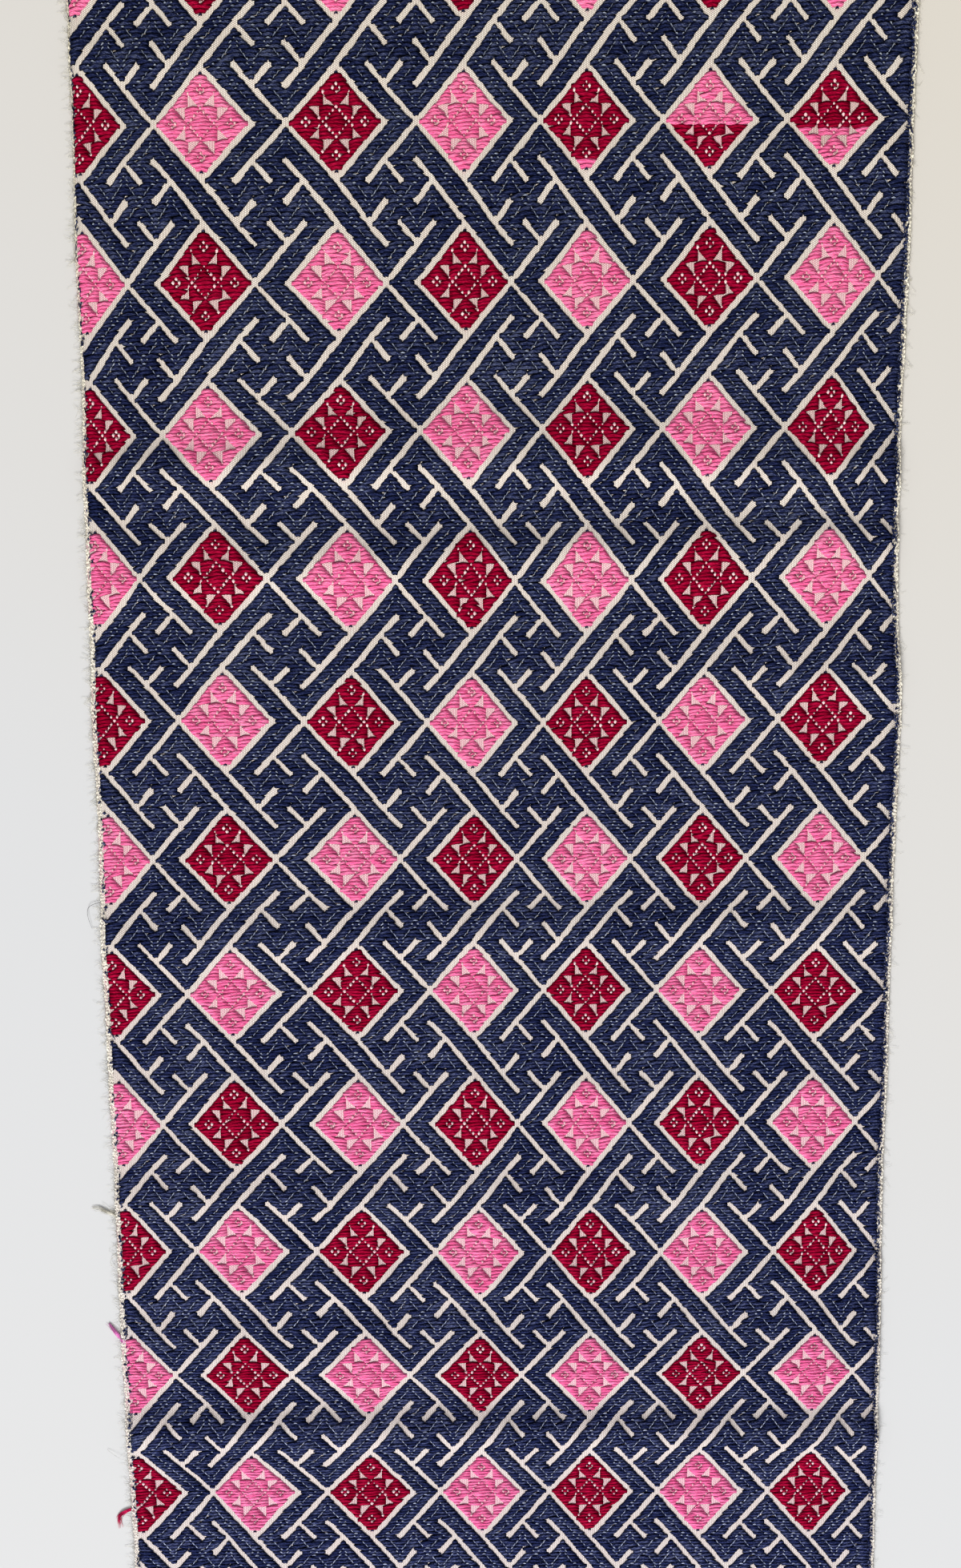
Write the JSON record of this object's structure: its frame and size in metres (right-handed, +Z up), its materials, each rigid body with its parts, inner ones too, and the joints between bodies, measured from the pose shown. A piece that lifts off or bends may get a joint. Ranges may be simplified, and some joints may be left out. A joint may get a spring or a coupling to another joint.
{
  "type": "brocade textile panel",
  "caption": "Long flat panel of hand-woven brocade with a navy key-fret lattice and stepped flowers in crimson and pink, laid face up.",
  "frame": {"origin": "middle of the box's base, on the surface that the cloth lies on", "axes": "+Y along the warp, the long way, towards the end at the top of the picture; +X along the weft, to the right in the picture; +Z up, out of the face of the cloth"},
  "size_m": [0.356, 0.8324, 0.0034],
  "materials": {
    "brocade_cloth": "matt woven cotton ground with navy, crimson and pink supplementary weft"
  },
  "bodies": {
    "root": {"brocade_panel": "brocade_cloth"}
  },
  "joints": []
}
